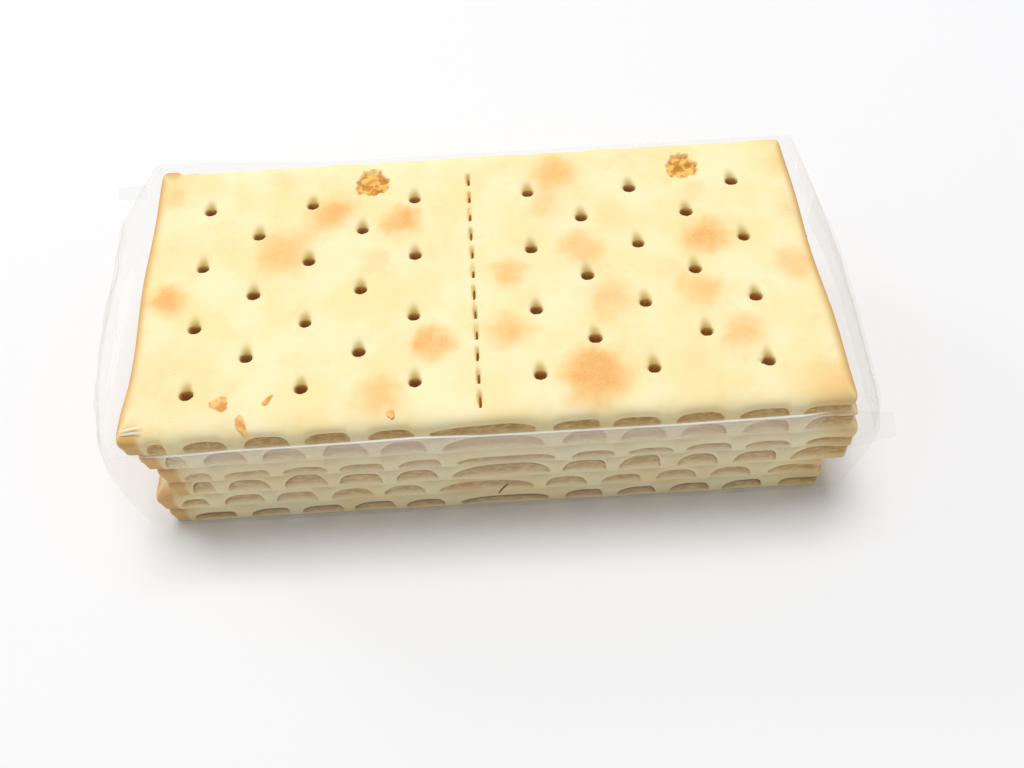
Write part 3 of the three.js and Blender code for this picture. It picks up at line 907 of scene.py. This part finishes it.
def back_line(x, z):
    """y of the back film, which stands off the crackers near the top and at the left."""
    off = 0.5 * smooth((z - 15) / 8) + 1.5 * smooth((-x - 20) / 30) * smooth((z - 10) / 10)
    return BAG_BACK - film_inset(z) + off


def film_marks(x, y, z):
    """What the film's material needs at each place: its faint haze and painted reflection of the floor,
    whether it is on the front, how far it is above the crease and inside the nearer fold, and how dull it is."""
    front = smooth((-23.6 - y) / 0.3) * smooth((53 - np.abs(x)) / 2)
    crease = z - np.interp(x, *np.array(CREASE_PATH).T)
    inside = np.where(x < 0, x - LEFT_FOLD[0] - LEFT_FOLD[1] * z, RIGHT_FOLD[0] + RIGHT_FOLD[1] * z - x)
    fold = inside / math.hypot(1, RIGHT_FOLD[1])
    # Painted reflection of the floor: strongest just under the crease, weaker towards the floor.
    reflection_veil = 0.06 + 0.3 * np.exp(crease / 5)
    haze_and_floor_reflection = 0.02 * (z < STACK_HEIGHT - 0.4) + reflection_veil * front * (crease < 0.02) * smooth(fold / 1.5)
    dull = smooth((17 - z) / 2) * smooth((np.abs(x) - 50) / 3)
    return {"haze_and_floor_reflection": haze_and_floor_reflection, "front": front, "crease": crease, "fold": fold, "dull": dull}


def film_bag(material):
    """The bag: a tight tube round the stack and a bulging end on each side, one closed surface."""
    heights = film_heights()
    across = (1 - np.cos(np.linspace(0, math.pi, TOP_STEPS + 1))) / 2
    stations = np.linspace(-LEFT_END["edge"], RIGHT_END["edge"], TUBE_STEPS + 1)

    rings = []
    for x in stations:
        front = np.stack([front_line(x, heights), heights + crease_lift(x, heights)])
        back = np.stack([back_line(x, heights), heights])
        top = front[:, -1:] + (back - front)[:, -1:] * across
        floor = front[:, :1] + (back - front)[:, :1] * across
        y, z = np.concatenate([front[:, :-1], top[:, :-1], back[:, :0:-1], floor[:, :0:-1]], axis=1)
        share = (x - stations[0]) / (stations[-1] - stations[0])
        left, right = end_x(LEFT_END, y, z), end_x(RIGHT_END, y, z)
        rings.append(np.stack([left + (right - left) * share, y, z], axis=1))
    around = len(rings[0])
    here = np.arange(around) + around * np.arange(TUBE_STEPS)[:, None]
    following = (np.arange(around) + 1) % around + around * np.arange(TUBE_STEPS)[:, None]
    tube_faces = np.stack([here, here + around, following + around, following], axis=-1).reshape(-1, 4)

    points = [np.concatenate(rings)]
    faces = [tube_faces]
    for end, x in ((LEFT_END, stations[0]), (RIGHT_END, stations[-1])):
        a = across[None, :]
        z = heights[:, None] + crease_lift(x, heights)[:, None] * (1 - smooth(a / 0.12))
        y = front_line(x, heights)[:, None] * (1 - a) + back_line(x, heights)[:, None] * a
        window = smooth(a / 0.1) * smooth((1 - a) / 0.1) * smooth(z / 3) * smooth((24 - z) / 5)
        folds = 0.3 * (np.abs(ripple(y, z * 0.35, 6, 7 + end["side"])) - 0.4)
        folds = folds + 0.1 * (np.abs(ripple(y + z * 0.3, z * 0.15, 2.2, 17 + end["side"])) - 0.4)
        sheet = np.stack([end_x(end, y, z) + end["side"] * window * folds, y, z], axis=-1)
        start = sum(len(part) for part in points)
        faces.append(grid_faces(*z.shape, start, flip=end["side"] < 0))
        points.append(sheet.reshape(-1, 3))
    every = np.concatenate(points)
    return make_piece("film_bag", every, np.concatenate(faces), material, film_marks(*every.T))


def film_leaf(name, root, free, material, teeth=0):
    """A sealed double leaf of film between a root line and a free line, with a toothed free edge."""
    rows = 9
    count = len(root)
    share = np.linspace(0, 1, rows)[:, None, None]
    sheet = root * (1 - share) + free * share
    along = np.gradient(sheet, axis=1)
    across = np.broadcast_to(free - root, sheet.shape)
    normal = np.cross(along, across)
    normal = normal / np.linalg.norm(normal, axis=-1, keepdims=True)
    tooth = np.where(np.arange(count) % 2, 0.5, -0.5)[None, :, None]
    reach = across / np.linalg.norm(across, axis=-1, keepdims=True)
    sheet = sheet + tooth * teeth * reach * (share == 1)
    upper, lower = sheet + normal * LEAF_THICKNESS / 2, sheet - normal * LEAF_THICKNESS / 2
    points = np.concatenate([upper.reshape(-1, 3), lower.reshape(-1, 3)])
    faces = [grid_faces(rows, count), grid_faces(rows, count, rows * count, flip=True)]
    rim = rim_line(rows, count)
    after = np.roll(rim, -1)
    faces.append(np.stack([after, rim, rim + rows * count, after + rows * count], axis=1))
    marks = {"haze_and_floor_reflection": np.full(len(points), 0.015), "dull": np.ones(len(points))}
    return make_piece(name, points, np.concatenate(faces), material, marks)


def fin(name, end, front, back, high, high_back, teeth, material):
    """The seal of an end, folded up against it from its outermost line, with crimped teeth."""
    y = np.arange(front, back, TOOTH_PITCH / 2)
    root_z = np.full_like(y, 13.0)
    free_z = high + (high_back - high) * smooth((y - 5) / (back - 5))
    root = np.stack([end_x(end, y, root_z) + end["side"] * 0.15, y, root_z], axis=1)
    free = np.stack([end_x(end, y, free_z) + end["side"] * 0.45, y, free_z], axis=1)
    return film_leaf(name, root, free, material, teeth)


def ear(name, root, free, material):
    """A corner of a seal that stands out past the bag."""
    share = np.linspace(0, 1, 25)[:, None]
    lines = [np.array(line[0]) * (1 - share) + np.array(line[1]) * share for line in (root, free)]
    return film_leaf(name, *lines, material)


def film(material):
    """The bag, with the seals and the seal corners that stand out at the back left and front right."""
    pieces = [film_bag(material)]
    pieces += [fin(*numbers, material) for numbers in FINS]
    return pieces + [ear(*numbers, material) for numbers in EARS]


# ---------------------------------------------------------------- flakes and hair


def flake(name, x, y, depth, length, width, angle, slope, seed, material):
    """A thin ragged flake of crust, lying on the top cracker."""
    draw = np.random.default_rng(seed)
    turns = np.linspace(0, math.tau, FLAKE_SIDES, endpoint=False)
    ragged = 1 + 0.14 * np.sin(3 * turns + draw.uniform(0, 6)) + 0.1 * draw.uniform(-1, 1, FLAKE_SIDES)
    section = ((0.0, 0.9), (0.55, 1.0), (0.92, 0.85), (1.0, 0.45), (0.97, 0.0), (0.5, 0.0), (0.0, 0.0))
    rings = []
    for share, height in section:
        px = length / 2 * share * ragged * np.cos(turns)
        py = width / 2 * share * ragged * np.sin(turns)
        warp = 0.1 * np.sin(px * 2.1 + seed) * share
        pz = FLAKE_THICKNESS * (height + warp) + slope * px
        rings.append(np.stack([px, py, pz], axis=1))
    turn = np.array([
        [math.cos(angle), math.sin(angle), 0],
        [-math.sin(angle), math.cos(angle), 0],
        [0, 0, 1],
    ])
    points = np.concatenate(rings) @ turn + np.array([x, y, STACK_HEIGHT - FILM_GAP - FACE_DIP - depth])
    side = np.arange(FLAKE_SIDES)
    faces = []
    for ring_index in range(len(rings) - 1):
        here = ring_index * FLAKE_SIDES + side
        following = ring_index * FLAKE_SIDES + (side + 1) % FLAKE_SIDES
        faces.append(np.stack([here, here + FLAKE_SIDES, following + FLAKE_SIDES, following], axis=1))
    return make_piece(name, points, np.concatenate(faces), material)


def hair(material):
    """The fine dark hair on the front of the film."""
    sides = 6
    share = np.linspace(0, 1, 13)
    x = HAIR_FOOT[0] + (HAIR_TIP[0] - HAIR_FOOT[0]) * share - 0.12 * np.sin(math.pi * share)
    z = HAIR_FOOT[1] + (HAIR_TIP[1] - HAIR_FOOT[1]) * share
    line = np.stack([x, front_line(x, z) - HAIR_RADIUS, z], axis=1)
    turns = np.linspace(0, math.tau, sides + 1)
    ring = HAIR_RADIUS * np.stack([np.cos(turns), np.sin(turns), 0 * turns], axis=1)
    points = (line[:, None] + ring).reshape(-1, 3)
    foot = np.arange(sides)
    tip = foot + (len(line) - 1) * (sides + 1)
    faces = [*grid_faces(len(line), sides + 1), foot[::-1], tip]
    return make_piece("hair", points, faces, material)


# ---------------------------------------------------------------- studio


def area_light(name, place, target, size, power):
    data = bpy.data.lights.new(name, "AREA")
    data.shape = "RECTANGLE"
    data.size, data.size_y = (side * MM for side in size)
    data.energy = power
    light = bpy.data.objects.new(name, data)
    bpy.context.scene.collection.objects.link(light)
    light.location = Vector(place) * MM
    light.rotation_euler = (Vector(target) - Vector(place)).to_track_quat("-Z", "Y").to_euler()
    return light


def studio():
    """A pale floor, a broad light above and a little behind, and a white room."""
    size = 3000 * MM
    mesh = bpy.data.meshes.new("floor")
    corners = [(-size, -size, 0), (size, -size, 0), (size, size, 0), (-size, size, 0)]
    mesh.from_pydata(corners, [], [(0, 1, 2, 3)])
    mesh.materials.append(floor_material())
    floor = bpy.data.objects.new("floor", mesh)
    bpy.context.scene.collection.objects.link(floor)
    area_light("key", (-120, 520, 2100), (0, 0, 0), (1120, 840), 33)
    area_light("left panel", (-700, 560, 420), (-50, 0, 20), (420, 130), 1.4)

    world = bpy.data.worlds.new("room")
    world.use_nodes = True
    t = Tree(world.node_tree)
    sky = t.node("ShaderNodeBackground", {}, {"Color": (1, 0.985, 0.96, 1), "Strength": 0.38})
    t.node("ShaderNodeOutputWorld", {}, [sky])
    bpy.context.scene.world = world
    bpy.context.scene.view_settings.view_transform = "Standard"


def camera():
    """The photograph's view: from the front and well above, a little rolled."""
    data = bpy.data.cameras.new("camera")
    data.lens = CAMERA_LENS
    data.sensor_width = 36
    view = bpy.data.objects.new("camera", data)
    bpy.context.scene.collection.objects.link(view)
    place = Vector(np.array(CAMERA_PLACE) + STACK_ORIGIN) * MM
    azimuth, tilt, roll = (math.radians(a) for a in CAMERA_TURNS)
    turn = Matrix.Rotation(azimuth, 4, "Z") @ Matrix.Rotation(tilt, 4, "X") @ Matrix.Rotation(roll, 4, "Z")
    view.matrix_world = Matrix.Translation(place) @ turn
    bpy.context.scene.camera = view


# ---------------------------------------------------------------- the pack


def build():
    camera()
    studio()
    crust = crust_material()
    clear = film_material()
    toast = flake_material()
    food = [cracker(index, crust) for index in range(CRACKERS)]
    food += [flake(*numbers, toast) for numbers in FLAKES]
    for piece in [*food, hair(hair_material())]:
        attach(piece, BODY)
        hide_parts(SOLID)
    for piece in film(clear):
        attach(piece, BODY)
        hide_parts(SOLID)


build()
